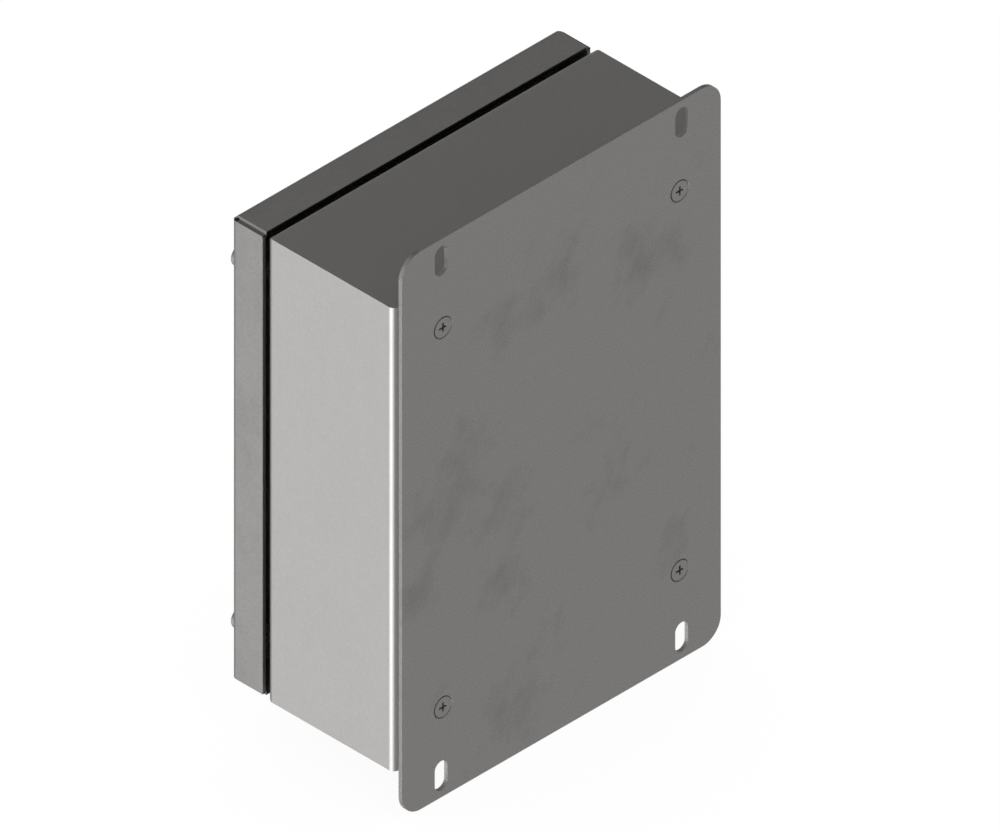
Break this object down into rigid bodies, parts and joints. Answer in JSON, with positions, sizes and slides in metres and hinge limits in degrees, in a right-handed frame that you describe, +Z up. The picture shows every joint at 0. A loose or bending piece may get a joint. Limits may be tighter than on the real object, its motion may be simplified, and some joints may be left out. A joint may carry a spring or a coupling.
{
  "type": "pushbutton station",
  "caption": "Stainless steel wall box with a screwed-on front cover carrying an emergency stop, two pushbuttons, a selector and a pilot light.",
  "frame": {"origin": "centre of the mounting plate's rear face, which lies on the wall", "axes": "+Y points into the wall, the operators face -Y, +X is the right-hand side of a person facing them, +Z is up"},
  "size_m": [0.2036, 0.1405, 0.3],
  "materials": {
    "sheet_steel": "satin stainless sheet, fine grain",
    "cover_steel": "satin stainless sheet, fine grain",
    "plate_steel": "satin stainless plate, slightly cloudy",
    "screw_steel": "machined stainless",
    "zinc_steel": "zinc plated steel",
    "brass_metal": "plain brass",
    "contact_metal": "silver-tipped brass strip",
    "spring_steel": "spring wire",
    "seal_rubber": "black rubber",
    "gland_plastic": "black polyamide",
    "black_plastic": "black moulded plastic",
    "block_plastic": "dark grey moulded plastic",
    "holder_plastic": "glass-filled plastic",
    "bezel_chrome": "satin chromed metal",
    "clear_lens": "clear moulded lens",
    "lamp_plastic": "milky lamp body",
    "green_plastic": "green moulded plastic",
    "red_plastic": "red moulded plastic",
    "estop_plastic": "red moulded plastic"
  },
  "bodies": {
    "enclosure": {"body_shell": "sheet_steel", "cover_gasket": "seal_rubber", "cover_press_nuts": "zinc_steel", "cover_screws": "screw_steel", "cover_washers": "seal_rubber", "earth_nut": "brass_metal", "earth_stud": "zinc_steel", "earth_washer": "brass_metal", "estop_bezel": "bezel_chrome", "estop_contact_block": "block_plastic", "estop_holder": "holder_plastic", "estop_spring": "spring_steel", "fixed_contacts": "contact_metal", "front_cover": "cover_steel", "gland_body": "gland_plastic", "gland_dome_nut": "gland_plastic", "gland_face_seal": "seal_rubber", "gland_insert": "seal_rubber", "gland_locknut": "gland_plastic", "light_bezel": "bezel_chrome", "light_holder": "holder_plastic", "light_lamp": "lamp_plastic", "light_lamp_block": "block_plastic", "light_lens": "clear_lens", "mounting_plate": "plate_steel", "panel_nuts": "black_plastic", "panel_seals": "seal_rubber", "plate_press_nuts": "zinc_steel", "plate_screws": "screw_steel", "selector_bezel": "bezel_chrome", "selector_contact_block": "block_plastic", "selector_holder": "holder_plastic", "start_bezel": "bezel_chrome", "start_contact_block": "block_plastic", "start_holder": "holder_plastic", "start_spring": "spring_steel", "stop_bezel": "bezel_chrome", "stop_contact_block": "block_plastic", "stop_holder": "holder_plastic", "stop_spring": "spring_steel", "terminal_screws": "zinc_steel"},
    "start_button": {"start_cap": "green_plastic", "start_stem": "block_plastic", "start_contact_plunger": "block_plastic", "start_bridge": "contact_metal"},
    "stop_button": {"stop_cap": "red_plastic", "stop_stem": "block_plastic", "stop_contact_plunger": "block_plastic", "stop_bridge": "contact_metal"},
    "selector_rotor": {"selector_knob": "black_plastic", "selector_shaft": "black_plastic"},
    "selector_contact": {"selector_follower": "block_plastic", "selector_bridge": "contact_metal"},
    "estop_plunger": {"estop_stem": "block_plastic", "estop_contact_plunger": "block_plastic", "estop_bridge": "contact_metal"},
    "estop_mushroom": {"estop_head": "estop_plastic"}
  },
  "joints": [
    {"name": "start_push", "type": "slide", "parent": "enclosure", "child": "start_button", "axis": [0, 1, 0], "range_m": [0, 0.0045], "stiffness_N_per_m": 300, "springref_m": -0.008, "deforming": ["start_spring"]},
    {"name": "stop_push", "type": "slide", "parent": "enclosure", "child": "stop_button", "axis": [0, 1, 0], "range_m": [0, 0.0045], "stiffness_N_per_m": 300, "springref_m": -0.008, "deforming": ["stop_spring"]},
    {"name": "selector_turn", "type": "hinge", "parent": "enclosure", "child": "selector_rotor", "pos_m": [0.04, -0.1035, 0.066], "axis": [0, 1, 0], "range_deg": [0, 90]},
    {"name": "selector_follow", "type": "slide", "parent": "enclosure", "child": "selector_contact", "axis": [0, 1, 0], "range_m": [0, 0.003]},
    {"name": "estop_push", "type": "slide", "parent": "enclosure", "child": "estop_plunger", "axis": [0, 1, 0], "range_m": [0, 0.006], "deforming": ["estop_spring"]},
    {"name": "estop_twist", "type": "hinge", "parent": "estop_plunger", "child": "estop_mushroom", "pos_m": [0, -0.1035, -0.066], "axis": [0, 1, 0], "range_deg": [0, 45], "stiffness_Nm_per_rad": 0.05}
  ],
  "couplings": [
    {"joint": "selector_follow", "follows": "selector_turn", "m_per_rad": 0.0019098}
  ]
}
